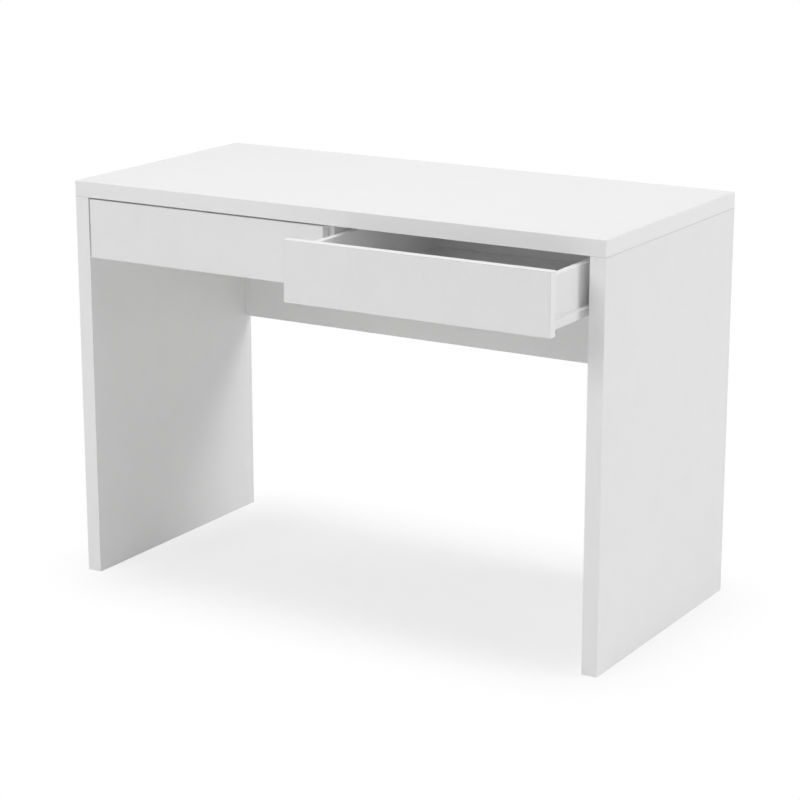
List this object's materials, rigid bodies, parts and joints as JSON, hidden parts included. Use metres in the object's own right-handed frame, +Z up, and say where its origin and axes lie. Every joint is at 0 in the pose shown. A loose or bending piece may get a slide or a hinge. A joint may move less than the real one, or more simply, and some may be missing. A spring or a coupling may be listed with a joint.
{
  "type": "computer desk",
  "caption": "White computer desk with slab sides, a back panel and side-by-side handleless drawers on roller runners.",
  "frame": {"origin": "on the floor, under the middle of the desk's outline with the right drawer standing open as pictured", "axes": "+X to the right along the desk's width, +Y to the back panel, +Z up; the drawers open towards -Y"},
  "size_m": [1.05, 0.624, 0.73],
  "materials": {
    "white_board": "satin white melamine on chipboard",
    "drawer_box_board": "white foil on fibreboard",
    "drawer_bottom_board": "white lacquered hardboard",
    "runner_steel": "white epoxy powder coat",
    "roller_nylon": "moulded nylon",
    "zinc_plated_steel": "zinc plated",
    "beech_dowel": "fluted beech",
    "glide_plastic": "moulded polyethylene"
  },
  "bodies": {
    "carcass": {"tabletop": "white_board", "left_side_panel": "white_board", "right_side_panel": "white_board", "back_panel": "white_board", "centre_divider": "white_board", "cam_bolts": "zinc_plated_steel", "cam_discs": "zinc_plated_steel", "dowels": "beech_dowel", "divider_screws": "zinc_plated_steel", "floor_glides": "glide_plastic", "cabinet_runner_screws": "zinc_plated_steel", "cabinet_roller_rivets": "zinc_plated_steel", "left_outer_cabinet_runner": "runner_steel", "left_inner_cabinet_runner": "runner_steel", "right_inner_cabinet_runner": "runner_steel", "right_outer_cabinet_runner": "runner_steel"},
    "left_drawer": {"left_drawer_front": "white_board", "left_drawer_left_side": "drawer_box_board", "left_drawer_right_side": "drawer_box_board", "left_drawer_back": "drawer_box_board", "left_drawer_bottom": "drawer_bottom_board", "left_outer_drawer_runner": "runner_steel", "left_inner_drawer_runner": "runner_steel", "left_drawer_runner_screws": "zinc_plated_steel", "left_drawer_roller_rivets": "zinc_plated_steel", "left_drawer_cam_bolts": "zinc_plated_steel", "left_drawer_cam_discs": "zinc_plated_steel", "left_drawer_dowels": "beech_dowel", "left_drawer_back_screws": "zinc_plated_steel"},
    "right_drawer": {"right_drawer_front": "white_board", "right_drawer_left_side": "drawer_box_board", "right_drawer_right_side": "drawer_box_board", "right_drawer_back": "drawer_box_board", "right_drawer_bottom": "drawer_bottom_board", "right_outer_drawer_runner": "runner_steel", "right_inner_drawer_runner": "runner_steel", "right_drawer_runner_screws": "zinc_plated_steel", "right_drawer_roller_rivets": "zinc_plated_steel", "right_drawer_cam_bolts": "zinc_plated_steel", "right_drawer_cam_discs": "zinc_plated_steel", "right_drawer_dowels": "beech_dowel", "right_drawer_back_screws": "zinc_plated_steel"},
    "left_outer_front_roller": {"left_outer_front_roller": "roller_nylon"},
    "left_outer_rear_roller": {"left_outer_rear_roller": "roller_nylon"},
    "left_inner_front_roller": {"left_inner_front_roller": "roller_nylon"},
    "left_inner_rear_roller": {"left_inner_rear_roller": "roller_nylon"},
    "right_inner_front_roller": {"right_inner_front_roller": "roller_nylon"},
    "right_inner_rear_roller": {"right_inner_rear_roller": "roller_nylon"},
    "right_outer_front_roller": {"right_outer_front_roller": "roller_nylon"},
    "right_outer_rear_roller": {"right_outer_rear_roller": "roller_nylon"}
  },
  "joints": [
    {"name": "left_drawer_slide", "type": "slide", "parent": "carcass", "child": "left_drawer", "axis": [0, -1, 0], "range_m": [0, 0.34]},
    {"name": "right_drawer_slide", "type": "slide", "parent": "carcass", "child": "right_drawer", "axis": [0, -1, 0], "range_m": [-0.124, 0.216]},
    {"name": "left_outer_front_roller_spin", "type": "hinge", "parent": "carcass", "child": "left_outer_front_roller", "pos_m": [-0.492, -0.158, 0.6105], "axis": [1, 0, 0], "continuous": true},
    {"name": "left_outer_rear_roller_spin", "type": "hinge", "parent": "left_drawer", "child": "left_outer_rear_roller", "pos_m": [-0.4908, 0.266, 0.6105], "axis": [1, 0, 0], "continuous": true},
    {"name": "left_inner_front_roller_spin", "type": "hinge", "parent": "carcass", "child": "left_inner_front_roller", "pos_m": [-0.014, -0.158, 0.6105], "axis": [1, 0, 0], "continuous": true},
    {"name": "left_inner_rear_roller_spin", "type": "hinge", "parent": "left_drawer", "child": "left_inner_rear_roller", "pos_m": [-0.0152, 0.266, 0.6105], "axis": [1, 0, 0], "continuous": true},
    {"name": "right_inner_front_roller_spin", "type": "hinge", "parent": "carcass", "child": "right_inner_front_roller", "pos_m": [0.014, -0.158, 0.6105], "axis": [1, 0, 0], "continuous": true},
    {"name": "right_inner_rear_roller_spin", "type": "hinge", "parent": "right_drawer", "child": "right_inner_rear_roller", "pos_m": [0.0152, 0.142, 0.6105], "axis": [1, 0, 0], "continuous": true},
    {"name": "right_outer_front_roller_spin", "type": "hinge", "parent": "carcass", "child": "right_outer_front_roller", "pos_m": [0.492, -0.158, 0.6105], "axis": [1, 0, 0], "continuous": true},
    {"name": "right_outer_rear_roller_spin", "type": "hinge", "parent": "right_drawer", "child": "right_outer_rear_roller", "pos_m": [0.4908, 0.142, 0.6105], "axis": [1, 0, 0], "continuous": true}
  ],
  "couplings": [
    {"joint": "left_outer_front_roller_spin", "follows": "left_drawer_slide", "rad_per_m": 125},
    {"joint": "left_outer_rear_roller_spin", "follows": "left_drawer_slide", "rad_per_m": 125},
    {"joint": "left_inner_front_roller_spin", "follows": "left_drawer_slide", "rad_per_m": 125},
    {"joint": "left_inner_rear_roller_spin", "follows": "left_drawer_slide", "rad_per_m": 125},
    {"joint": "right_inner_front_roller_spin", "follows": "right_drawer_slide", "rad_per_m": 125},
    {"joint": "right_inner_rear_roller_spin", "follows": "right_drawer_slide", "rad_per_m": 125},
    {"joint": "right_outer_front_roller_spin", "follows": "right_drawer_slide", "rad_per_m": 125},
    {"joint": "right_outer_rear_roller_spin", "follows": "right_drawer_slide", "rad_per_m": 125}
  ]
}
